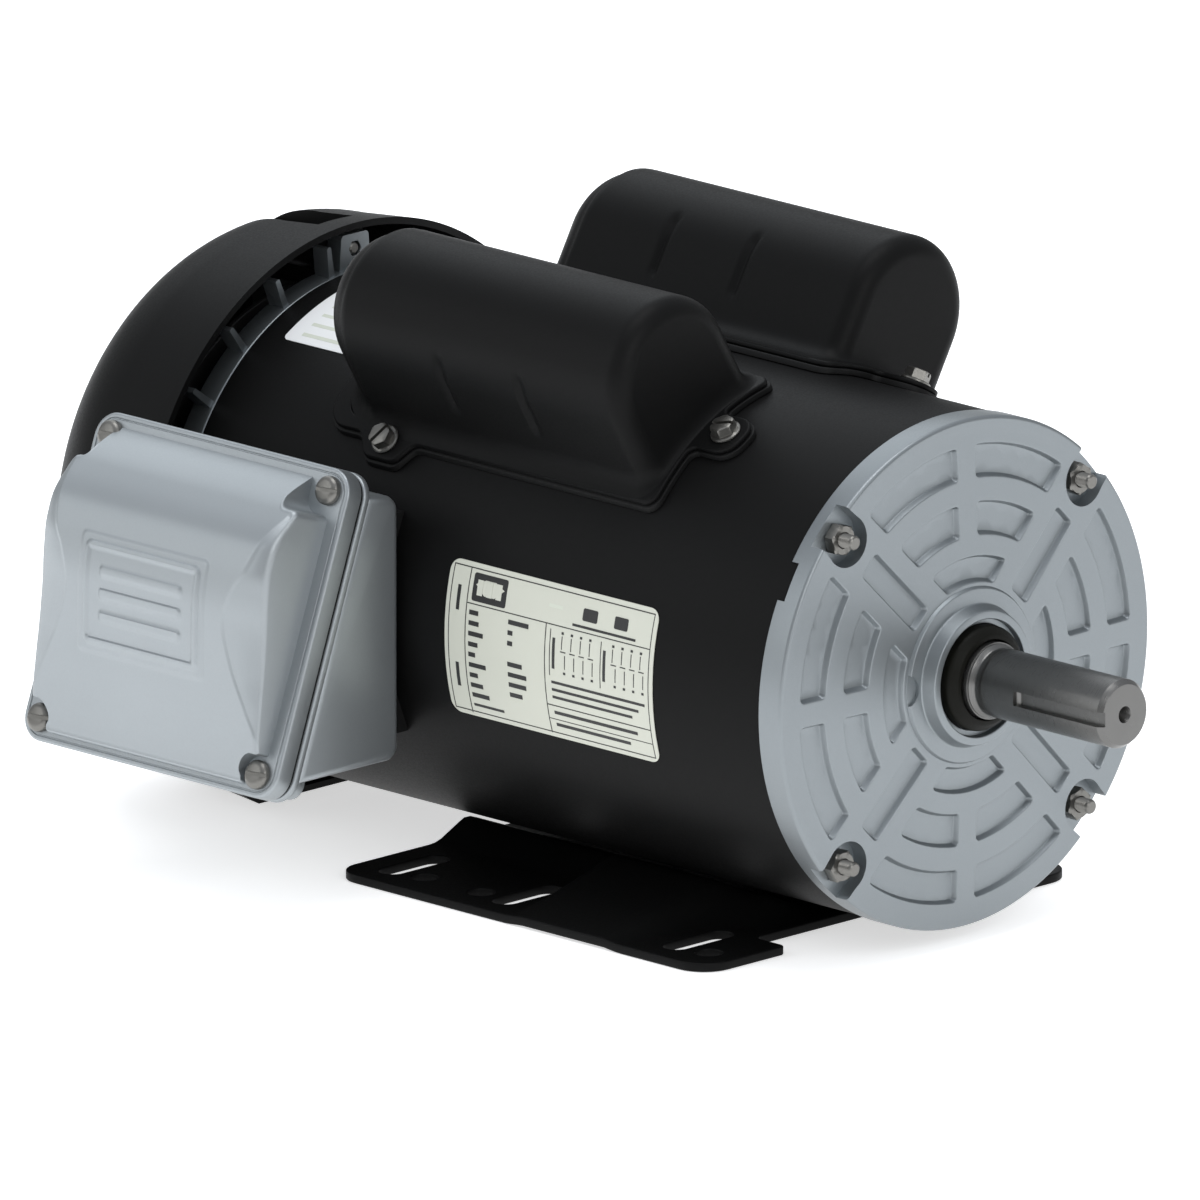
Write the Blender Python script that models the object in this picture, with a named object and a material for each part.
"""Foot-mounted, fan-cooled electric motor with a terminal box and two capacitor covers.

Lengths are in millimetres and become metres where a mesh is made. The row frame has its origin on
the underside of the foot, below the shaft axis, with +X towards the shaft end and +Z up. Pieces on
the shaft axis are drawn in the motor frame: x runs from the shaft's shoulder towards its end.
"""

import math

import bmesh
import bpy
from mathutils import Matrix, Vector

MM = 0.001

# Driving dimensions
SHAFT_HEIGHT = 88.9
SHOULDER_X = 128.35
SHAFT_RADIUS = 11.11
SHAFT_EXTENSION = 57.15
KEYWAY_WIDTH = 4.76
KEYWAY_FLOOR = 8.7
KEYWAY_START = 18.9

TUBE_RADIUS = 82.0
TUBE_WALL = 2.2
TUBE_FRONT = -23.0
TUBE_REAR = -282.7

FACE_X = -13.0
RIM_RADIUS = 82.5
RIM_REAR = -22.7
POCKET_DEPTH = 1.4
BOLT_CIRCLE = 75.0
BOLT_RADIUS = 2.4
BOLT_ANGLES = (45.0, 135.0, 225.0, 315.0)
NUT_SEAT = -18.2

COVER_RIM_RADIUS = 97.0
COVER_FRONT = -284.0
DOME_RADIUS = 39.5
DOME_CENTRE_RADIUS = 55.0
DOME_CENTRE_X = -309.1
COVER_WALL = 2.0
COVER_FLAT_HEIGHT = -86.0
COVER_SCREW_ANGLES = (90.0, 210.0, 330.0)
COVER_SCREW_RADIUS = 88.0

CAPACITOR_TILT = 30.0
CAPACITOR_CENTRE = 105.6
CAPACITOR_BODY_RADIUS = 26.0
CAPACITOR_BODY_REAR = -223.5
CAPACITOR_BODY_FRONT = -86.5
CAPACITOR_WALL = 1.5
FLANGE_INNER_RADIUS = 84.2
FLANGE_OUTER_RADIUS = 85.8
GASKET_INNER_RADIUS = 82.3
GASKET_OUTER_RADIUS = 84.1

BOX_CENTRE = (-237.0, -120.0, 4.3)
BOX_TILT = 70.0
LID_HALF_LENGTH = 57.0
LID_HALF_HEIGHT = 53.5
LID_THICKNESS = 6.4
LID_SCREW_X = 49.0
LID_SCREW_S = 46.15
BOX_FRONT_X = 54.0
BOX_REAR_X = -45.2
BOX_WALL = 2.5

FOOT_THICKNESS = 3.0
FOOT_REAR = -211.0
FOOT_FRONT = -45.7
FOOT_MIDDLE_FRONT = -59.6
FOOT_HALF_WIDTH = 83.6
SLOT_POSITIONS = (-69.85, -146.05, -196.85)
SLOT_Y = 61.9
SLOT_WIDTH = 8.7
SLOT_LENGTH = 28.0
HOLE_POSITIONS = (-57.15, -158.75, -184.15)
HOLE_Y = 69.85

AXIS_PLACE = (SHOULDER_X, 0.0, SHAFT_HEIGHT)
BIG_ROUND = 40
SMALL_ROUND = 16
SMOOTH_ANGLE = math.radians(35.0)


# Materials: colour, roughness, metallic
FINISHES = {
    "black_paint": ((0.018, 0.018, 0.019), 0.42, 0.0),
    "cast_aluminium": ((0.45, 0.50, 0.53), 0.38, 0.75),
    "box_aluminium": ((0.42, 0.47, 0.49), 0.36, 0.75),
    "steel": ((0.40, 0.39, 0.37), 0.35, 1.0),
    "shaft_steel": ((0.26, 0.26, 0.25), 0.35, 1.0),
    "rubber": ((0.012, 0.012, 0.010), 0.7, 0.0),
    "copper": ((0.55, 0.22, 0.10), 0.35, 0.9),
    "lamination": ((0.20, 0.20, 0.21), 0.5, 0.8),
    "black_plastic": ((0.02, 0.02, 0.02), 0.5, 0.0),
    "label_cream": ((0.82, 0.84, 0.75), 0.45, 0.0),
    "label_white": ((0.85, 0.85, 0.85), 0.45, 0.0),
    "capacitor_case": ((0.10, 0.10, 0.11), 0.4, 0.0),
    "capacitor_can": ((0.60, 0.61, 0.62), 0.3, 0.9),
    "terminal_plastic": ((0.08, 0.06, 0.04), 0.5, 0.0),
    "brass": ((0.60, 0.43, 0.16), 0.3, 1.0),
}


def clear_scene():
    for obj in list(bpy.data.objects):
        bpy.data.objects.remove(obj, do_unlink=True)


def material_for(node_name, finish):
    colour, roughness, metallic = FINISHES[finish]
    material = bpy.data.materials.new(node_name + "_material")
    material.use_nodes = True
    shader = material.node_tree.nodes["Principled BSDF"]
    shader.inputs["Base Color"].default_value = (*colour, 1.0)
    shader.inputs["Roughness"].default_value = roughness
    shader.inputs["Metallic"].default_value = metallic
    return material


def add_object(name, mesh):
    obj = bpy.data.objects.new(name, mesh)
    bpy.context.scene.collection.objects.link(obj)
    return obj


def mesh_from(shape, name="shape"):
    """Turns a bmesh drawn in millimetres into a mesh in metres."""
    bmesh.ops.recalc_face_normals(shape, faces=shape.faces[:])
    bmesh.ops.scale(shape, vec=(MM, MM, MM), verts=shape.verts[:])
    mesh = bpy.data.meshes.new(name)
    shape.to_mesh(mesh)
    shape.free()
    return mesh


def combine(base, operation, *others):
    """Applies one Boolean per tool to a mesh and returns the new mesh."""
    body = add_object("boolean_body", base)
    tools = [add_object("boolean_tool", other) for other in others]
    for tool in tools:
        modifier = body.modifiers.new("cut", "BOOLEAN")
        modifier.operation = operation
        modifier.solver = "EXACT"
        modifier.object = tool
    graph = bpy.context.evaluated_depsgraph_get()
    graph.update()
    result = bpy.data.meshes.new_from_object(body.evaluated_get(graph))
    for obj in [body, *tools]:
        bpy.data.objects.remove(obj, do_unlink=True)
    return result


def moved(mesh, x=0.0, y=0.0, z=0.0, tilt=0.0):
    """Turns a mesh about X by tilt degrees, then moves it by millimetres."""
    turn = Matrix.Rotation(math.radians(tilt), 4, "X")
    shift = Matrix.Translation(Vector((x, y, z)) * MM)
    mesh.transform(shift @ turn)
    return mesh


def node(name, mesh, finish, place=AXIS_PLACE, tilt=0.0, smooth=True):
    """Places a finished mesh in the row frame as one named piece."""
    mesh.materials.clear()
    mesh.name = name
    mesh.materials.append(material_for(name, finish))
    for polygon in mesh.polygons:
        polygon.material_index = 0
        polygon.use_smooth = smooth
    if smooth:
        mesh.set_sharp_from_angle(angle=SMOOTH_ANGLE)
    obj = add_object(name, mesh)
    obj.location = Vector(place) * MM
    obj.rotation_euler.x = math.radians(tilt)
    return obj


# Shape builders


def loft(loops, closed_ends=True):
    """Skins a list of loops that all have the same number of points."""
    shape = bmesh.new()
    rings = [[shape.verts.new(point) for point in loop] for loop in loops]
    count = len(rings[0])
    for lower, upper in zip(rings, rings[1:]):
        for i in range(count):
            j = (i + 1) % count
            shape.faces.new((lower[i], lower[j], upper[j], upper[i]))
    if closed_ends:
        shape.faces.new(rings[0][::-1])
        shape.faces.new(rings[-1])
    else:
        for i in range(count):
            j = (i + 1) % count
            shape.faces.new((rings[-1][i], rings[-1][j], rings[0][j], rings[0][i]))
    return mesh_from(shape)


def turned(profile, segments=BIG_ROUND):
    """Turns a closed profile of (x, radius) points about the X axis."""
    loops = []
    for x, radius in profile:
        loop = []
        for i in range(segments):
            angle = math.tau * i / segments
            loop.append((x, radius * math.cos(angle), radius * math.sin(angle)))
        loops.append(loop)
    return loft(loops, closed_ends=False)


def turned_solid(profile, segments=BIG_ROUND):
    """Turns an open profile whose two end points close on flat discs."""
    loops = []
    for x, radius in profile:
        loop = []
        for i in range(segments):
            angle = math.tau * i / segments
            loop.append((x, radius * math.cos(angle), radius * math.sin(angle)))
        loops.append(loop)
    return loft(loops)


def prism_x(outline, x0, x1):
    """Extrudes a (y, z) outline along X."""
    return loft([[(x, y, z) for y, z in outline] for x in (x0, x1)])


def prism_z(outline, z0, z1):
    """Extrudes an (x, y) outline along Z."""
    return loft([[(x, y, z) for x, y in outline] for z in (z0, z1)])


def block(x0, x1, y0, y1, z0, z1):
    return prism_z([(x0, y0), (x1, y0), (x1, y1), (x0, y1)], z0, z1)


def circle(radius, count=6, centre=(0.0, 0.0), start=0.0):
    points = []
    for i in range(count):
        angle = math.radians(start) + math.tau * i / count
        points.append((centre[0] + radius * math.cos(angle), centre[1] + radius * math.sin(angle)))
    return points


def hexagon(across_flats):
    return circle(across_flats / 2 / math.cos(math.pi / 6), 6)


def rounded_rectangle(x0, x1, y0, y1, radius, steps=2):
    points = []
    corners = ((x1, y1, 0), (x0, y1, 90), (x0, y0, 180), (x1, y0, 270))
    for corner_x, corner_y, start in corners:
        centre_x = corner_x - math.copysign(radius, corner_x - (x0 + x1) / 2)
        centre_y = corner_y - math.copysign(radius, corner_y - (y0 + y1) / 2)
        for i in range(steps + 1):
            angle = math.radians(start + 90.0 * i / steps)
            points.append((centre_x + radius * math.cos(angle), centre_y + radius * math.sin(angle)))
    return points


def slot_outline(x, y, width, length, steps=4):
    """A slot that runs along Y, with round ends."""
    points = []
    for end, start in ((1, 0), (-1, 180)):
        for i in range(steps + 1):
            angle = math.radians(start + 180.0 * i / steps)
            centre_y = y + end * (length - width) / 2
            points.append((x + width / 2 * math.cos(angle), centre_y + width / 2 * math.sin(angle)))
    return points


def bent_plate(x0, x1, angle0, angle1, radius0, radius1, steps):
    """A thin plate that lies round the motor axis."""
    loops = []
    for i in range(steps + 1):
        angle = math.radians(angle0 + (angle1 - angle0) * i / steps)
        y = math.cos(angle)
        z = math.sin(angle)
        corners = ((x0, radius0), (x1, radius0), (x1, radius1), (x0, radius1))
        loops.append([(x, radius * y, radius * z) for x, radius in corners])
    return loft(loops)


def stacked(levels):
    """Skins (x, y) outlines at given heights into one solid that stands along Z."""
    return loft([[(x, y, z) for x, y in outline] for z, outline in levels])


def hex_screw(across_flats, head, shank_radius, shank):
    """A hex-headed screw: the seat is at z = 0 and the shank points down."""
    head_outline = hexagon(across_flats)
    crown = [(x * 0.9, y * 0.9) for x, y in head_outline]
    return stacked(
        [
            (-shank, circle(shank_radius)),
            (0.0, circle(shank_radius)),
            (0.0, head_outline),
            (head * 0.85, head_outline),
            (head, crown),
        ]
    )


def pan_screw(head_radius, head, shank_radius, shank):
    """A round-headed slotted screw: the seat is at z = 0 and the shank points down."""
    screw = stacked(
        [
            (-shank, circle(shank_radius, 12)),
            (0.0, circle(shank_radius, 12)),
            (0.0, circle(head_radius, 12)),
            (head * 0.5, circle(head_radius, 12)),
            (head * 0.85, circle(head_radius * 0.85, 12)),
            (head, circle(head_radius * 0.6, 12)),
        ]
    )
    slot = block(-head_radius - 1.0, head_radius + 1.0, -0.6, 0.6, head * 0.55, head + 1.0)
    return combine(screw, "DIFFERENCE", slot)


def sector(radius0, radius1, angle0, angle1, steps):
    """Outline of a ring sector in (y, z)."""
    points = []
    for i in range(steps + 1):
        angle = math.radians(angle0 + (angle1 - angle0) * i / steps)
        points.append((radius1 * math.cos(angle), radius1 * math.sin(angle)))
    for i in range(steps + 1):
        angle = math.radians(angle1 + (angle0 - angle1) * i / steps)
        points.append((radius0 * math.cos(angle), radius0 * math.sin(angle)))
    return points


# Drive end


def ring_pocket(radius0, radius1, rib, diagonal, quarter):
    """One pocket of a ring: it lies between a straight rib and a diagonal rib."""
    points = []
    for radius, order in ((radius1, 1), (radius0, -1)):
        start = math.asin(rib / radius)
        end = math.radians(45.0) - math.asin(diagonal / radius)
        for i in range(3)[::order]:
            angle = start + (end - start) * i / 2
            points.append((radius * math.cos(angle), radius * math.sin(angle)))
    turned_points = []
    for y, z in points:
        if quarter % 2:
            y, z = z, y
        turn = math.radians(90.0 * (quarter // 2))
        turned_points.append((y * math.cos(turn) - z * math.sin(turn), y * math.sin(turn) + z * math.cos(turn)))
    return turned_points


def turned_outline(points, degrees):
    angle = math.radians(degrees)
    cosine = math.cos(angle)
    sine = math.sin(angle)
    return [(y * cosine - z * sine, y * sine + z * cosine) for y, z in points]


def drive_endshield_mesh():
    profile = [
        (RIM_REAR, RIM_RADIUS),
        (FACE_X - 1.2, RIM_RADIUS),
        (FACE_X, RIM_RADIUS - 1.2),
        (FACE_X, 29.5),
        (-9.7, 27.5),
        (-9.7, 23.1),
        (-5.0, 21.4),
        (-5.0, 18.9),
        (-7.5, 18.9),
        (-7.5, 17.2),
        (-11.5, 17.2),
        (-11.5, 13.4),
        (-14.0, 13.4),
        (-14.0, 26.3),
        (-30.0, 26.3),
        (-30.0, 31.0),
        (-19.5, 33.0),
        (-19.5, 76.0),
        (-28.0, 76.0),
        (-28.0, 79.4),
        (RIM_REAR, 79.4),
    ]
    shield = turned(profile)
    bosses = []
    for angle in BOLT_ANGLES:
        outline = rounded_rectangle(62.0, 78.6, -9.5, 9.5, 4.0, 2)
        bosses.append(prism_x(turned_outline(outline, angle), -26.0, -18.0))
    shield = combine(shield, "UNION", *bosses)
    cutters = []
    floor = FACE_X - POCKET_DEPTH
    for quarter in range(8):
        for radius0, radius1 in ((63.3, 74.0), (44.9, 55.6)):
            outline = ring_pocket(radius0, radius1, 3.9, 11.6, quarter)
            cutters.append(prism_x(outline, floor, FACE_X + 1.0))
    for angle in BOLT_ANGLES:
        diagonal_slot = rounded_rectangle(33.0, 61.0, -4.6, 4.6, 1.5, 1)
        cutters.append(prism_x(turned_outline(diagonal_slot, angle), floor, FACE_X + 1.0))
        side_pocket = sector(31.0, 38.0, angle - 45.0 - 26.0, angle - 45.0 + 26.0, 3)
        cutters.append(prism_x(side_pocket, floor, FACE_X + 1.0))
        opening = [(BOLT_CIRCLE + 12.0, -8.2), (BOLT_CIRCLE + 12.0, 8.2)]
        for i in range(5):
            turn = math.radians(90.0 + 180.0 * i / 4)
            opening.append((BOLT_CIRCLE + 8.5 * math.cos(turn), 8.5 * math.sin(turn)))
        cutters.append(prism_x(turned_outline(opening, angle), NUT_SEAT, FACE_X + 1.0))
        centre = (BOLT_CIRCLE * math.cos(math.radians(angle)), BOLT_CIRCLE * math.sin(math.radians(angle)))
        cutters.append(prism_x(circle(BOLT_RADIUS + 0.5, 8, centre), -29.0, -17.0))
    return combine(shield, "DIFFERENCE", *cutters)


def shaft_mesh():
    profile = [
        (53.0, 0.8),
        (55.0, 2.3),
        (SHAFT_EXTENSION, 3.2),
        (SHAFT_EXTENSION, SHAFT_RADIUS - 1.2),
        (SHAFT_EXTENSION - 1.2, SHAFT_RADIUS),
        (4.5, SHAFT_RADIUS),
        (1.5, 11.5),
        (0.0, 12.5),
        (-29.8, 12.5),
        (-30.2, 16.5),
        (-205.0, 16.5),
        (-206.0, 12.0),
        (-274.0, 12.0),
        (-274.5, 10.0),
        (-300.0, 10.0),
        (-301.0, 9.0),
        (-336.5, 9.0),
        (-338.0, 8.0),
    ]
    shaft = turned_solid(profile, 20)
    keyway = block(KEYWAY_START, 60.0, -14.0, -KEYWAY_FLOOR, -KEYWAY_WIDTH / 2, KEYWAY_WIDTH / 2)
    return combine(shaft, "DIFFERENCE", keyway)


def grooved_ring(centre_x, half_width, wall_radius, groove_side_radius, groove_radius):
    """A bearing ring with a ball groove. The wall radius is the plain side."""
    profile = [
        (centre_x - half_width, wall_radius),
        (centre_x + half_width, wall_radius),
        (centre_x + half_width, groove_side_radius),
        (centre_x + half_width * 0.5, groove_side_radius),
        (centre_x, groove_radius),
        (centre_x - half_width * 0.5, groove_side_radius),
        (centre_x - half_width, groove_side_radius),
    ]
    return turned(profile, SMALL_ROUND)


def ball_cage_mesh(centre_x, pitch_radius, ball_radius, count):
    ring = turned(
        [
            (centre_x - 1.8, pitch_radius - 0.9),
            (centre_x + 1.8, pitch_radius - 0.9),
            (centre_x + 1.8, pitch_radius + 0.9),
            (centre_x - 1.8, pitch_radius + 0.9),
        ],
        count * 2,
    )
    balls = []
    for i in range(count):
        angle = math.tau * i / count
        shape = bmesh.new()
        bmesh.ops.create_icosphere(shape, subdivisions=1, radius=ball_radius)
        ball = mesh_from(shape)
        balls.append(moved(ball, centre_x, pitch_radius * math.cos(angle), pitch_radius * math.sin(angle)))
    return combine(ring, "UNION", *balls)


def build_drive_end():
    node("drive_endshield", drive_endshield_mesh(), "cast_aluminium")
    node("shaft", shaft_mesh(), "shaft_steel")
    seal_profile = [(-1.7, 12.9), (-2.0, 14.4), (-3.9, 16.9), (-7.3, 17.0), (-10.5, 17.0), (-10.5, 12.9)]
    node("shaft_seal", turned(seal_profile, 24), "rubber")
    node("drive_bearing_outer", grooved_ring(-21.8, 7.5, 26.0, 22.2, 23.8), "steel")
    node("drive_bearing_inner", grooved_ring(-21.8, 7.5, 12.8, 16.5, 14.9), "steel")
    node("drive_ball_cage", ball_cage_mesh(-21.8, 19.35, 3.7, 8), "brass")
    for number, angle in enumerate(BOLT_ANGLES, start=1):
        y = BOLT_CIRCLE * math.cos(math.radians(angle))
        z = BOLT_CIRCLE * math.sin(math.radians(angle))
        rod = loft(
            [
                [(-9.1, y + u, z + w) for u, w in circle(1.85)],
                [(-9.8, y + u, z + w) for u, w in circle(BOLT_RADIUS)],
                [(-289.2, y + u, z + w) for u, w in circle(BOLT_RADIUS)],
                [(-289.2, y + u, z + w) for u, w in circle(3.9)],
                [(-292.8, y + u, z + w) for u, w in circle(3.9)],
            ]
        )
        node(f"tie_bolt_{number}", rod, "steel")
        outer = [(y + u, z + w) for u, w in hexagon(9.2)]
        inner = [(y + u, z + w) for u, w in circle(BOLT_RADIUS + 0.15)]
        nut = loft(
            [
                [(-18.0, u, w) for u, w in outer],
                [(-14.2, u, w) for u, w in outer],
                [(-14.2, u, w) for u, w in inner],
                [(-18.0, u, w) for u, w in inner],
            ],
            closed_ends=False,
        )
        node(f"tie_nut_{number}", nut, "steel", smooth=False)


# Frame, core and windings


def stator_core_mesh():
    """Laminated core: the bore has slots, and the outside has four notches for the through bolts."""
    outer = []
    inner = []
    slots = 18
    for i in range(slots):
        for part, radius in ((0.02, 46.0), (0.42, 46.0), (0.52, 60.0), (0.92, 62.0)):
            angle = math.tau * (i + part) / slots
            notch = min(abs(math.degrees(angle) - bolt) for bolt in BOLT_ANGLES) < 5.0
            reach = 70.5 if notch else 79.4
            outer.append((reach * math.cos(angle), reach * math.sin(angle)))
            inner.append((radius * math.cos(angle), radius * math.sin(angle)))
    loops = [
        [(-205.0, y, z) for y, z in outer],
        [(-95.0, y, z) for y, z in outer],
        [(-95.0, y, z) for y, z in inner],
        [(-205.0, y, z) for y, z in inner],
    ]
    return loft(loops, closed_ends=False)


def winding_mesh(x0, x1):
    """Coil ends gathered into a rounded ring."""
    x_near = x0 + (x1 - x0) * 0.3
    profile = [(x0, 51.0), (x0, 69.0), (x_near, 71.0), (x1, 67.0), (x1, 55.0), (x_near, 50.0)]
    return turned(profile, 20)


def build_frame():
    tube = [
        (TUBE_FRONT, TUBE_RADIUS),
        (TUBE_REAR, TUBE_RADIUS),
        (TUBE_REAR, TUBE_RADIUS - TUBE_WALL),
        (TUBE_FRONT, TUBE_RADIUS - TUBE_WALL),
    ]
    node("stator_frame", turned(tube), "black_paint")
    node("stator_core", stator_core_mesh(), "lamination", smooth=False)
    node("winding_drive_end", winding_mesh(-94.6, -74.0), "copper")
    node("winding_fan_end", winding_mesh(-205.4, -226.0), "copper")
    core = [
        (-91.0, 30.0),
        (-91.0, 44.0),
        (-97.0, 44.0),
        (-97.0, 45.4),
        (-203.0, 45.4),
        (-203.0, 44.0),
        (-209.0, 44.0),
        (-209.0, 30.0),
        (-203.0, 29.0),
        (-203.0, 16.8),
        (-97.0, 16.8),
        (-97.0, 29.0),
    ]
    node("rotor_core", turned(core, 20), "lamination")
    nameplate = bent_plate(-162.5, -70.0, 162.5, 198.0, TUBE_RADIUS + 0.05, TUBE_RADIUS + 0.45, 10)
    node("nameplate", nameplate, "label_cream")
    side_label = bent_plate(-273.0, -232.0, 97.0, 123.0, TUBE_RADIUS + 0.05, TUBE_RADIUS + 0.4, 8)
    node("side_label", side_label, "label_white")


# Foot


def along_stations(stations, x):
    """The value at x of a line through (x, value) stations."""
    for (x0, value0), (x1, value1) in zip(stations, stations[1:]):
        if x <= x1:
            return value0 + (value1 - value0) * (x - x0) / (x1 - x0)
    return stations[-1][1]


def ramp_start(x):
    """How far out from the middle the foot starts to rise towards the frame."""
    stations = ((FOOT_REAR, 36.0), (-150.0, 36.0), (-128.0, 87.0), (-88.0, 87.0), (-80.0, 46.0), (FOOT_FRONT, 38.0))
    return along_stations(stations, x)


def foot_lift(x, y):
    """Height of the foot above its flat pads."""
    distance = abs(y)
    start = ramp_start(x)
    contact = 24.0 + 12.0 * min(1.0, max(0.0, start - 38.0) / 40.0)
    crest = SHAFT_HEIGHT - math.sqrt(TUBE_RADIUS**2 - contact**2) - 0.4 - FOOT_THICKNESS
    crest *= along_stations(((FOOT_REAR, 1.0), (-80.0, 1.0), (-66.0, 0.0), (FOOT_FRONT, 0.0)), x)
    if distance >= start:
        return 0.0
    if distance >= contact:
        return crest * (start - distance) / (start - contact)
    return crest * max(0.0, (distance - 8.0) / (contact - 8.0)) ** 1.6


def foot_mesh():
    x_lines = (FOOT_REAR, -175.0, -150.0, -139.0, -128.0, -108.0, -88.0, -80.0, -73.0, -66.0, FOOT_FRONT)
    half_lines = (0.0, 8.0, 16.0, 24.0, 30.0, 36.0, 38.0, 46.0, 58.0, 70.0, FOOT_HALF_WIDTH)
    y_lines = [-y for y in half_lines[:0:-1]] + list(half_lines)
    shape = bmesh.new()
    sheets = []
    for thickness in (FOOT_THICKNESS, 0.0):
        sheet = []
        for x in x_lines:
            row = []
            for y in y_lines:
                row.append(shape.verts.new((x, y, foot_lift(x, y) + thickness)))
            sheet.append(row)
        sheets.append(sheet)
    top, bottom = sheets
    last_x = len(x_lines) - 1
    last_y = len(y_lines) - 1
    for sheet in sheets:
        for i in range(last_x):
            for j in range(last_y):
                shape.faces.new((sheet[i][j], sheet[i + 1][j], sheet[i + 1][j + 1], sheet[i][j + 1]))
    for i in range(last_x):
        for j in (0, last_y):
            shape.faces.new((top[i][j], top[i + 1][j], bottom[i + 1][j], bottom[i][j]))
    for j in range(last_y):
        for i in (0, last_x):
            shape.faces.new((top[i][j], top[i][j + 1], bottom[i][j + 1], bottom[i][j]))
    bmesh.ops.triangulate(shape, faces=shape.faces[:])
    plate = mesh_from(shape)

    left = -FOOT_HALF_WIDTH + 0.01
    right = FOOT_HALF_WIDTH - 0.01
    outline = rounded_rectangle(FOOT_REAR + 0.01, FOOT_FRONT - 0.01, left, right, 9.0)
    plate = combine(plate, "INTERSECT", prism_z(outline, -5.0, 30.0))
    cutters = [block(FOOT_MIDDLE_FRONT, FOOT_FRONT + 5.0, -47.0, 47.0, -5.0, 30.0)]
    for side in (-1, 1):
        for x in SLOT_POSITIONS:
            cutters.append(prism_z(slot_outline(x, side * SLOT_Y, SLOT_WIDTH, SLOT_LENGTH), -5.0, 20.0))
        for x in HOLE_POSITIONS:
            cutters.append(prism_z(circle(SLOT_WIDTH / 2, 10, (x, side * HOLE_Y)), -5.0, 20.0))
    return combine(plate, "DIFFERENCE", *cutters)


# Fan end


def cover_profile(inset):
    """Profile of the fan cover, moved inwards by inset, from the front rim to the axis."""
    points = [(COVER_FRONT, COVER_RIM_RADIUS - inset)]
    radius = DOME_RADIUS - inset
    for i in range(6):
        angle = math.radians(90.0 * i / 5)
        x = DOME_CENTRE_X - radius * math.sin(angle)
        points.append((x, DOME_CENTRE_RADIUS + radius * math.cos(angle)))
    points.append((DOME_CENTRE_X - radius, 12.0))
    return points


def fan_cover_mesh():
    outer = turned_solid(cover_profile(0.0))
    inner_profile = cover_profile(COVER_WALL)
    inner_profile[0] = (COVER_FRONT + 3.0, inner_profile[0][1])
    inner = turned_solid(inner_profile)
    low = COVER_FLAT_HEIGHT
    outer = combine(outer, "DIFFERENCE", block(-360.0, -270.0, -60.0, 60.0, -120.0, low))
    inner = combine(inner, "DIFFERENCE", block(-360.0, -270.0, -60.0, 60.0, -120.0, low + COVER_WALL))
    pocket_walls = []
    cutters = []
    for angle in COVER_SCREW_ANGLES:
        wall = rounded_rectangle(80.0, 105.0, -9.8, 9.8, 2.0, 1)
        pocket_walls.append(prism_x(turned_outline(wall, angle), -330.0, -292.2))
        recess = rounded_rectangle(82.0, 110.0, -7.8, 7.8, 2.0, 1)
        cutters.append(prism_x(turned_outline(recess, angle), -330.0, -294.2))
        centre = turned_outline([(COVER_SCREW_RADIUS, 0.0)], angle)[0]
        cutters.append(prism_x(circle(2.7, 6, centre), -300.0, -290.0))
    for radius0, radius1 in ((16.0, 22.0), (27.0, 33.0), (38.0, 44.0)):
        for quarter in range(4):
            start = 90.0 * quarter + math.degrees(4.0 / radius0)
            end = 90.0 * (quarter + 1) - math.degrees(4.0 / radius0)
            cutters.append(prism_x(sector(radius0, radius1, start, end, 4), -355.0, -340.0))
    inner = combine(inner, "DIFFERENCE", *pocket_walls)
    shell = combine(outer, "DIFFERENCE", inner)
    return combine(shell, "DIFFERENCE", *cutters)


def rear_endshield_mesh():
    profile = [
        (-277.0, 79.4),
        (-277.0, 76.0),
        (-283.0, 76.0),
        (-283.0, 33.0),
        (-275.8, 29.0),
        (-275.8, 23.8),
        (-292.0, 23.8),
        (-292.0, 10.6),
        (-294.5, 10.6),
        (-294.5, 27.0),
        (-288.8, 32.0),
        (-288.8, 79.3),
        (-292.0, 79.3),
        (-292.0, 81.5),
        (-283.0, 81.5),
        (-283.0, 79.4),
    ]
    shield = turned(profile, 30)
    fins = []
    holes = []
    for i in range(24):
        angle = 15.0 * i + 8.0
        if min(abs((angle - tab + 180.0) % 360.0 - 180.0) for tab in COVER_SCREW_ANGLES) < 8.0:
            continue
        downward = max(0.01, -math.sin(math.radians(angle)))
        reach = min(91.5, (-COVER_FLAT_HEIGHT - COVER_WALL - 0.8) / downward)
        if reach < 83.5:
            continue
        fin = [(80.0, -1.2), (reach, -0.8), (reach, 0.8), (80.0, 1.2)]
        fins.append(prism_x(turned_outline(fin, angle), -291.0, -284.5))
    for angle in COVER_SCREW_ANGLES:
        tab = [(80.0, -7.0), (93.0, -6.0), (93.0, 6.0), (80.0, 7.0)]
        fins.append(prism_x(turned_outline(tab, angle), -291.8, -286.4))
        centre = turned_outline([(COVER_SCREW_RADIUS, 0.0)], angle)[0]
        holes.append(prism_x(circle(2.8, 6, centre), -300.0, -280.0))
    for angle in BOLT_ANGLES:
        centre = turned_outline([(BOLT_CIRCLE, 0.0)], angle)[0]
        holes.append(prism_x(circle(BOLT_RADIUS + 0.4, 8, centre), -300.0, -270.0))
    shield = combine(shield, "UNION", *fins)
    return combine(shield, "DIFFERENCE", *holes)


def cooling_fan_mesh():
    disc = turned([(-306.0, 9.3), (-306.0, 74.0), (-308.0, 74.0), (-309.0, 16.0), (-333.0, 14.0), (-333.0, 9.3)], 24)
    blades = []
    for i in range(8):
        outline = [(12.0, -1.2), (73.0, -1.2), (73.0, 1.2), (12.0, 1.2)]
        blade = loft(
            [
                [(-307.0, y, z) for y, z in turned_outline(outline, 45.0 * i)],
                [(-331.0, y, z) for y, z in turned_outline(outline, 45.0 * i)],
            ]
        )
        blades.append(blade)
    return combine(disc, "UNION", *blades)


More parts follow.
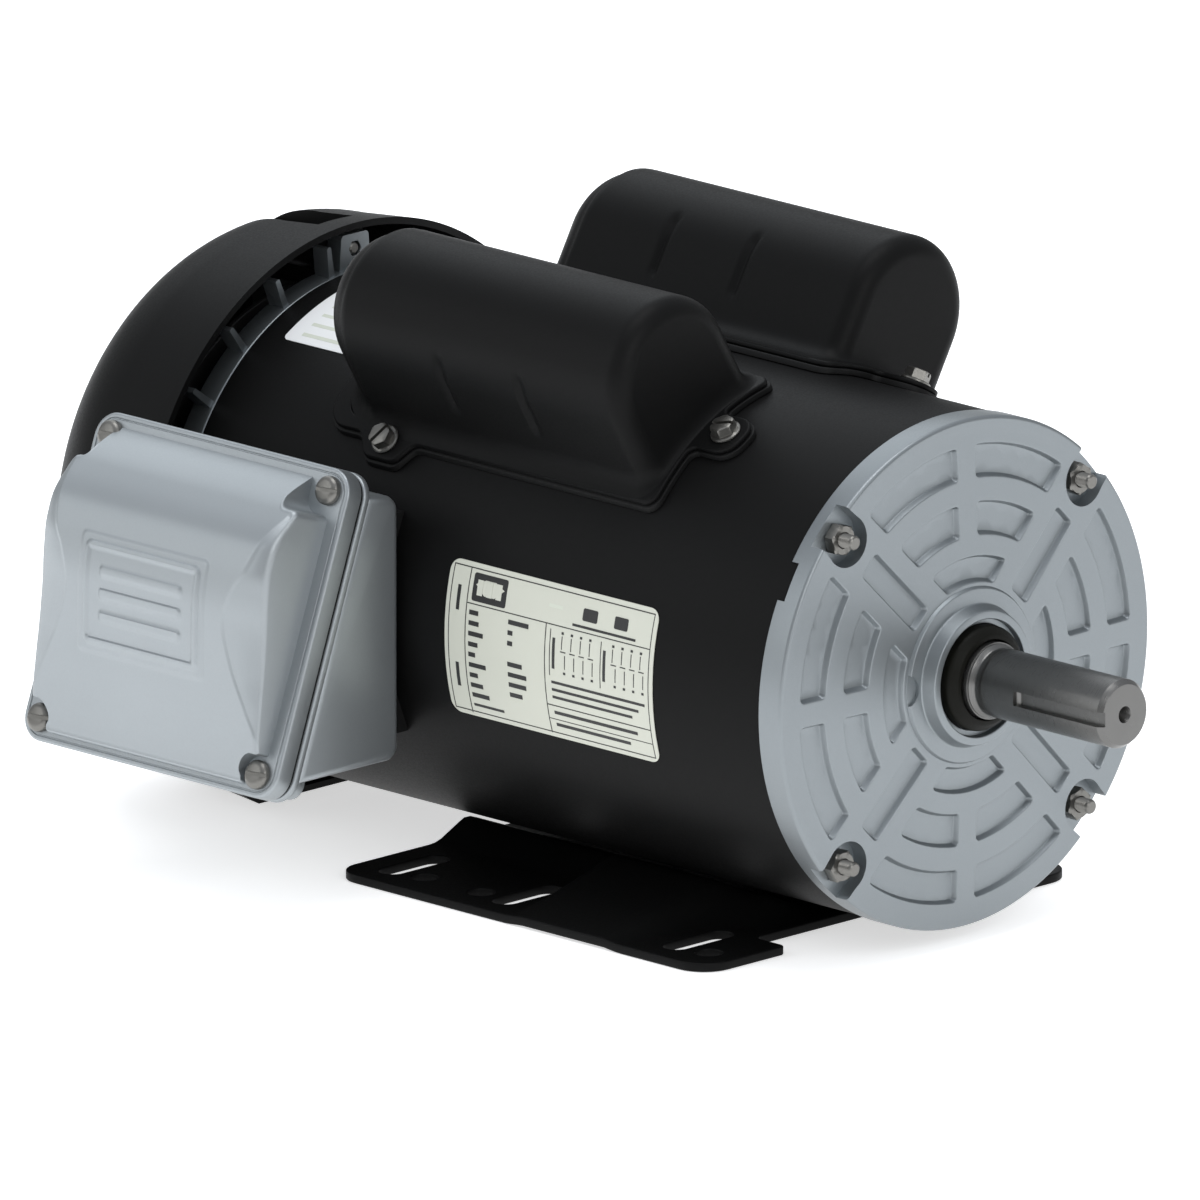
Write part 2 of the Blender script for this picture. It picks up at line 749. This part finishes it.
def build_fan_end():
    node("rear_endshield", rear_endshield_mesh(), "cast_aluminium")
    node("fan_cover", fan_cover_mesh(), "black_paint")
    node("cooling_fan", cooling_fan_mesh(), "black_plastic")
    node("fan_bearing_outer", grooved_ring(-283.4, 7.0, 23.5, 19.6, 21.0), "steel")
    node("fan_bearing_inner", grooved_ring(-283.4, 7.0, 10.3, 13.8, 12.3), "steel")
    node("fan_ball_cage", ball_cage_mesh(-283.4, 16.65, 3.5, 7), "brass")
    spring = turned([(-290.8, 19.0), (-290.8, 23.2), (-291.5, 23.2), (-291.5, 19.0)], SMALL_ROUND)
    node("preload_spring", spring, "steel")
    for number, angle in enumerate(COVER_SCREW_ANGLES, start=1):
        screw = hex_screw(7.0, 3.2, 2.1, 9.0)
        screw.transform(Matrix.Rotation(math.radians(-90.0), 4, "Y"))
        y, z = turned_outline([(COVER_SCREW_RADIUS, 0.0)], angle)[0]
        place = (SHOULDER_X - 294.3, y, SHAFT_HEIGHT + z)
        node(f"fan_cover_screw_{number}", screw, "steel", place=place, smooth=False)


# Capacitor covers: drawn with the cover's own centre line straight above the motor axis


def cover_section(x, inset, floor):
    """Cross-section of a cover: a half circle on straight sides."""
    radius = CAPACITOR_BODY_RADIUS - inset
    points = [(x, radius, floor)]
    for i in range(9):
        angle = math.pi * i / 8
        points.append((x, radius * math.cos(angle), CAPACITOR_CENTRE + radius * math.sin(angle)))
    points.append((x, -radius, floor))
    return points


def cover_body_mesh(inset, floor):
    """The long domed body, with a large fillet at the drive end and a rounder one at the fan end."""
    rear = CAPACITOR_BODY_REAR + inset
    front = CAPACITOR_BODY_FRONT - inset
    sections = []
    rear_fillet = 14.0 - inset
    for part in (1.0, 0.75, 0.4, 0.0):
        sink = rear_fillet * (1.0 - math.sqrt(1.0 - part**2))
        sections.append(cover_section(rear + rear_fillet * (1.0 - part), inset + sink, floor))
    front_fillet = 6.8 - inset
    for part in (0.0, 0.5, 0.87, 1.0):
        sink = front_fillet * (1.0 - math.sqrt(1.0 - part**2))
        sections.append(cover_section(front - front_fillet * (1.0 - part), inset + sink, floor))
    return loft(sections)


def flange_outline(grow):
    """Plan view of the flange: a rounded plate with one lug at the side and one at the drive end."""
    half = 30.5 + grow
    return [
        (-230.0 - grow, half - 14.0),
        (-226.0 - grow, half - 4.0),
        (-218.0, half),
        (-88.5, half),
        (-85.2 + grow, half - 1.5),
        (-83.8 + grow, half - 5.0),
        (-83.8 + grow, 11.5),
        (-80.5, 8.0 + grow),
        (-72.0, 8.0 + grow),
        (-67.5 + grow, 4.0),
        (-67.5 + grow, -4.0),
        (-72.0, -8.0 - grow),
        (-80.5, -8.0 - grow),
        (-83.8 + grow, -11.5),
        (-83.8 + grow, -half + 5.0),
        (-85.2 + grow, -half + 1.5),
        (-88.5, -half),
        (-189.0, -half),
        (-194.0, -half - 5.5),
        (-198.0, -half - 7.0),
        (-206.0, -half - 7.0),
        (-210.0, -half - 5.5),
        (-215.0, -half),
        (-218.0, -half),
        (-226.0 - grow, -half + 4.0),
        (-230.0 - grow, -half + 14.0),
    ]


def flange_mesh(inner_radius, outer_radius, grow):
    plate = prism_z(flange_outline(grow), 60.0, 100.0)
    band = [(-240.0, inner_radius), (-60.0, inner_radius), (-60.0, outer_radius), (-240.0, outer_radius)]
    return combine(plate, "INTERSECT", turned(band))


def build_capacitor_covers():
    for side, sign in (("left", 1.0), ("right", -1.0)):
        tilt = CAPACITOR_TILT * sign
        flange = flange_mesh(FLANGE_INNER_RADIUS, FLANGE_OUTER_RADIUS, 0.0)
        body = cover_body_mesh(0.0, 78.0)
        pipe = turned([(-245.0, 60.0), (-245.0, FLANGE_INNER_RADIUS), (-55.0, FLANGE_INNER_RADIUS), (-55.0, 60.0)])
        body = combine(body, "DIFFERENCE", pipe)
        shell = combine(combine(flange, "UNION", body), "DIFFERENCE", cover_body_mesh(CAPACITOR_WALL, 70.0))
        lug_turn = math.degrees(math.asin(32.0 / FLANGE_OUTER_RADIUS))
        hole_side = moved(prism_z(circle(2.7, 6), 75.0, 95.0), x=-202.0)
        hole_side.transform(Matrix.Rotation(math.radians(lug_turn), 4, "X"))
        hole_end = moved(prism_z(circle(2.7, 6), 75.0, 95.0), x=-75.5)
        mirror = Matrix.Scale(-1.0, 4, Vector((0.0, 1.0, 0.0)))
        gasket = flange_mesh(GASKET_INNER_RADIUS, GASKET_OUTER_RADIUS, 0.4)
        window = prism_z(rounded_rectangle(-219.0, -90.0, -23.5, 23.5, 4.0, 1), 70.0, 95.0)
        gasket = combine(gasket, "DIFFERENCE", window)
        for name, mesh in (("capacitor_cover", shell), ("capacitor_gasket", gasket)):
            mesh = combine(mesh, "DIFFERENCE", hole_side.copy(), hole_end.copy())
            if sign < 0:
                mesh.transform(mirror)
                mesh.flip_normals()
            finish = "black_paint" if name == "capacitor_cover" else "rubber"
            node(f"{name}_{side}", mesh, finish, tilt=tilt)
        for number, (x, turn) in enumerate(((-202.0, lug_turn), (-75.5, 0.0)), start=1):
            angle = math.radians(sign * (CAPACITOR_TILT + turn))
            seat = FLANGE_OUTER_RADIUS + 0.1
            place = (SHOULDER_X + x, -seat * math.sin(angle), SHAFT_HEIGHT + seat * math.cos(angle))
            screw = hex_screw(8.0, 4.0, 2.1, 3.4)
            name = f"capacitor_screw_{side}_{number}"
            node(name, screw, "steel", place=place, tilt=math.degrees(angle), smooth=False)
    start_can = turned_solid([(-210.0, 17.5), (-209.0, 19.5), (-112.0, 19.5), (-111.0, 17.5)], 20)
    node("start_capacitor", moved(start_can, z=105.0), "capacitor_case", tilt=CAPACITOR_TILT)
    run_can = turned_solid([(-206.0, 16.5), (-205.0, 18.0), (-122.0, 18.0), (-121.0, 16.5)], 20)
    node("run_capacitor", moved(run_can, z=105.0), "capacitor_can", tilt=-CAPACITOR_TILT)


# Terminal box: drawn in the lid's own frame, with y up the slope and z out of the lid

BOX_PLACE = (SHOULDER_X + BOX_CENTRE[0], BOX_CENTRE[1], SHAFT_HEIGHT + BOX_CENTRE[2])


def to_lid_frame(y, height):
    """Turns a (y, height above the shaft axis) point into the lid's (up-slope, outward) frame."""
    angle = math.radians(BOX_TILT)
    dy = y - BOX_CENTRE[1]
    dz = height - BOX_CENTRE[2]
    return dy * math.cos(angle) + dz * math.sin(angle), -dy * math.sin(angle) + dz * math.cos(angle)


def box_prism(corners, inset):
    """A prism along X whose corners are given as (y, height above the shaft axis)."""
    outline = [to_lid_frame(y, height) for y, height in corners]
    return prism_x(outline, BOX_REAR_X + inset, BOX_FRONT_X - inset)


def terminal_box_mesh():
    body = box_prism([(-84.0, -44.3), (-84.0, 41.5), (-94.5, 45.6), (-126.5, -44.3)], 0.0)
    outline = rounded_rectangle(-LID_HALF_LENGTH, LID_HALF_LENGTH, -LID_HALF_HEIGHT, LID_HALF_HEIGHT, 8.5)
    flange = prism_z(outline, -10.2, -7.75)
    inside = box_prism([(-86.5, -41.8), (-86.5, 38.8), (-106.0, 46.6), (-144.0, -41.8)], BOX_WALL)
    shell = combine(combine(body, "UNION", flange), "DIFFERENCE", inside)
    bosses = []
    holes = []
    for x in (-LID_SCREW_X, LID_SCREW_X):
        for s in (-LID_SCREW_S, LID_SCREW_S):
            depth = -12.0 if s > 0.0 else -16.0
            bosses.append(prism_z(circle(5.6, 10, (x, s)), depth, -8.5))
            holes.append(prism_z(circle(2.7, 6, (x, s)), depth - 2.0, -5.0))
    wire_hole = moved(prism_z(circle(12.0, 16), -12.0, 12.0), tilt=20.0)
    hole_s, hole_n = to_lid_frame(-84.0, -4.0)
    wire_hole = moved(wire_hole, y=hole_s, z=hole_n)
    conduit = moved(prism_z(circle(11.0, 16), -8.0, 8.0), tilt=-70.0)
    conduit_s, conduit_n = to_lid_frame(-104.0, -43.0)
    conduit = moved(conduit, y=conduit_s, z=conduit_n)
    shell = combine(shell, "UNION", *bosses)
    return combine(shell, "DIFFERENCE", conduit, wire_hole, *holes)


LID_RIDGE = (
    (-50.2, 0.0),
    (-49.4, 4.2),
    (-47.5, 5.8),
    (-37.0, 9.0),
    (-15.0, 16.0),
    (2.0, 21.6),
    (10.5, 23.2),
    (17.0, 23.3),
    (25.7, 21.8),
    (35.0, 14.3),
    (41.0, 8.0),
    (47.0, 0.0),
)
LID_SIDE = ((50.5, 0.0), (49.6, 0.93), (44.0, 0.97), (34.0, 1.0))
LID_SIDES = tuple((-x, share) for x, share in LID_SIDE) + LID_SIDE[::-1]


def lid_solid(top_shift, floor, side_scale):
    """A solid under the lid's crown: the crown is the ridge line times the side falloff."""
    shape = bmesh.new()
    top = []
    bottom = []
    for s, height in LID_RIDGE:
        top.append([])
        bottom.append([])
        for x, share in LID_SIDES:
            point = (x * side_scale, s * side_scale, height * share + top_shift)
            top[-1].append(shape.verts.new(point))
            bottom[-1].append(shape.verts.new((x * side_scale, s * side_scale, floor)))
    rows = len(LID_RIDGE) - 1
    columns = len(LID_SIDES) - 1
    for sheet in (top, bottom):
        for i in range(rows):
            for j in range(columns):
                shape.faces.new((sheet[i][j], sheet[i + 1][j], sheet[i + 1][j + 1], sheet[i][j + 1]))
    for i in range(rows):
        for j in (0, columns):
            shape.faces.new((top[i][j], top[i + 1][j], bottom[i + 1][j], bottom[i][j]))
    for j in range(columns):
        for i in (0, rows):
            shape.faces.new((top[i][j], top[i][j + 1], bottom[i][j + 1], bottom[i][j]))
    bmesh.ops.triangulate(shape, faces=shape.faces[:])
    return mesh_from(shape)


def screw_clearances(grow, floor):
    """The spaces round the four cover screws: stepped corners above, round recesses below."""
    spaces = [
        block(-70.0, -44.5 + grow, 35.6 - grow, 70.0, floor, 30.0),
        block(38.5 - grow, 70.0, 35.7 - grow, 70.0, floor, 30.0),
    ]
    for x in (-LID_SCREW_X, LID_SCREW_X):
        spaces.append(prism_z(circle(7.5 + grow, 14, (x, -LID_SCREW_S)), floor, 30.0))
    return spaces


def terminal_lid_mesh():
    outline = rounded_rectangle(-LID_HALF_LENGTH, LID_HALF_LENGTH, -LID_HALF_HEIGHT, LID_HALF_HEIGHT, 8.5)
    plate = prism_z(outline, -LID_THICKNESS, -0.01)
    crown = combine(lid_solid(0.0, -3.0, 1.0), "DIFFERENCE", *screw_clearances(0.0, 0.0))
    inside = combine(lid_solid(-2.6, -9.0, 0.93), "DIFFERENCE", *screw_clearances(2.6, -12.0))
    lid = combine(combine(plate, "UNION", crown), "DIFFERENCE", inside)
    cutters = []
    for x in (-LID_SCREW_X, LID_SCREW_X):
        for s in (-LID_SCREW_S, LID_SCREW_S):
            cutters.append(prism_z(circle(7.0, 10, (x, s)), -2.4, 1.0))
            cutters.append(prism_z(circle(2.7, 6, (x, s)), -8.0, 1.0))
    return combine(lid, "DIFFERENCE", *cutters)


def build_terminal_box():
    node("terminal_box", terminal_box_mesh(), "box_aluminium", place=BOX_PLACE, tilt=BOX_TILT)
    node("terminal_box_cover", terminal_lid_mesh(), "box_aluminium", place=BOX_PLACE, tilt=BOX_TILT)
    half_x = LID_HALF_LENGTH - 0.5
    half_s = LID_HALF_HEIGHT - 0.5
    outer = rounded_rectangle(-half_x, half_x, -half_s, half_s, 8.0)
    inner = rounded_rectangle(-42.5, 51.0, -42.0, 44.0, 3.0)
    gasket = loft(
        [
            [(x, y, -7.7) for x, y in outer],
            [(x, y, -6.45) for x, y in outer],
            [(x, y, -6.45) for x, y in inner],
            [(x, y, -7.7) for x, y in inner],
        ],
        closed_ends=False,
    )
    corner_holes = []
    for x in (-LID_SCREW_X, LID_SCREW_X):
        for s in (-LID_SCREW_S, LID_SCREW_S):
            corner_holes.append(prism_z(circle(2.7, 6, (x, s)), -9.0, -5.0))
    gasket = combine(gasket, "DIFFERENCE", *corner_holes)
    node("terminal_cover_gasket", gasket, "rubber", place=BOX_PLACE, tilt=BOX_TILT)
    turn = Matrix.Rotation(math.radians(BOX_TILT), 4, "X")
    number = 0
    for x in (-LID_SCREW_X, LID_SCREW_X):
        for s in (-LID_SCREW_S, LID_SCREW_S):
            number += 1
            offset = turn @ Vector((x, s, -2.3))
            place = [BOX_PLACE[i] + offset[i] for i in range(3)]
            name = f"box_cover_screw_{number}"
            node(name, pan_screw(4.7, 3.1, 2.2, 10.5), "steel", place=place, tilt=BOX_TILT, smooth=False)
    pad = block(-280.0, -188.0, -83.8, -60.0, -38.0, 34.0)
    pipe = turned([(-300.0, 40.0), (-300.0, 82.3), (-170.0, 82.3), (-170.0, 40.0)])
    wire_way = moved(prism_z(circle(12.0, 16), -40.0, 40.0), tilt=90.0)
    wire_way = moved(wire_way, x=-237.0, z=-4.0)
    pad = combine(pad, "DIFFERENCE", pipe, wire_way)
    node("terminal_box_pad", pad, "rubber")
    terminals = block(-26.0, 26.0, -9.0, 9.0, -4.0, 4.0)
    posts = []
    for i in range(4):
        x = -19.0 + 12.7 * i
        posts.append(moved(prism_z(hexagon(5.5), 3.0, 9.0), x=x))
    terminals = combine(terminals, "UNION", *posts)
    place = (SHOULDER_X - 237.0, -91.0, SHAFT_HEIGHT + 22.0)
    node("terminal_block", terminals, "terminal_plastic", place=place, tilt=90.0, smooth=False)
    ground = hex_screw(7.0, 3.0, 2.0, 2.0)
    place = (SHOULDER_X - 268.0, -89.0, SHAFT_HEIGHT - 20.0)
    node("ground_screw", ground, "brass", place=place, tilt=90.0, smooth=False)


# Start switch: governor on the shaft, plate and arm on the rear endshield

HUB_X = -238.0
PIVOT_RADIUS = 25.0
ARM_PIVOT = (-262.0, -33.0)


def build_switch():
    hub = turned([(-234.0, 12.3), (-234.0, 18.0), (-242.0, 18.0), (-242.0, 12.3)], SMALL_ROUND)
    lug_outline = [(PIVOT_RADIUS - 2.8, -7.0), (PIVOT_RADIUS - 2.8, 7.0)]
    lugs = []
    for side in (-1.0, 1.0):
        y0 = side * 16.0
        y1 = side * (PIVOT_RADIUS + 3.0)
        lugs.append(block(-240.5, -235.5, min(y0, y1), max(y0, y1), lug_outline[0][1], -4.6))
        lugs.append(block(-240.5, -235.5, min(y0, y1), max(y0, y1), 4.6, lug_outline[1][1]))
    pin_holes = [prism_z(circle(1.8, 6, (HUB_X, side * PIVOT_RADIUS)), -12.0, 12.0) for side in (-1.0, 1.0)]
    hub = combine(combine(hub, "UNION", *lugs), "DIFFERENCE", *pin_holes)
    node("governor_hub", hub, "steel", smooth=False)
    for number, side in ((1, -1.0), (2, 1.0)):
        y0 = side * -3.0
        y1 = side * 6.0
        arm = block(-15.0, 2.5, min(y0, y1), max(y0, y1), -4.2, 4.2)
        arm = combine(arm, "UNION", prism_z(circle(1.3), -6.6, 6.6))
        place = (SHOULDER_X + HUB_X, side * PIVOT_RADIUS, SHAFT_HEIGHT)
        node(f"flyweight_{number}", arm, "steel", place=place, smooth=False)
    collar_profile = [
        (-246.0, 12.3),
        (-246.0, 15.5),
        (-253.5, 15.5),
        (-253.5, 19.0),
        (-255.5, 19.0),
        (-255.5, 12.3),
    ]
    node("governor_collar", turned(collar_profile, SMALL_ROUND), "black_plastic")
    plate = turned([(-270.5, 16.0), (-270.5, 42.0), (-272.5, 42.0), (-272.5, 16.0)], SMALL_ROUND)
    ears = [
        block(-271.0, ARM_PIVOT[0] + 2.5, -6.0, -3.6, ARM_PIVOT[1] - 3.5, ARM_PIVOT[1] + 3.5),
        block(-271.0, ARM_PIVOT[0] + 2.5, 3.6, 6.0, ARM_PIVOT[1] - 3.5, ARM_PIVOT[1] + 3.5),
    ]
    pin_hole = moved(prism_z(circle(1.6), -12.0, 12.0), tilt=90.0)
    pin_hole = moved(pin_hole, x=ARM_PIVOT[0], z=ARM_PIVOT[1])
    plate = combine(combine(plate, "UNION", *ears), "DIFFERENCE", pin_hole)
    node("switch_plate", plate, "terminal_plastic", smooth=False)
    arm_outline = [(-1.8, -3.0), (1.8, -3.0), (1.8, 12.0), (5.9, 17.5), (3.6, 18.2), (-1.8, 13.0)]
    arm = loft([[(x, y, z) for x, z in arm_outline] for y in (-3.0, 3.0)])
    arm = combine(arm, "UNION", moved(prism_z(circle(1.1), -5.6, 5.6), tilt=90.0))
    place = (SHOULDER_X + ARM_PIVOT[0], 0.0, SHAFT_HEIGHT + ARM_PIVOT[1])
    node("switch_arm", arm, "brass", place=place, smooth=False)


clear_scene()
build_frame()
node("foot_base", foot_mesh(), "black_paint", place=(SHOULDER_X, 0.0, 0.0))
build_drive_end()
build_fan_end()
build_capacitor_covers()
build_terminal_box()
build_switch()
bpy.context.view_layer.update()
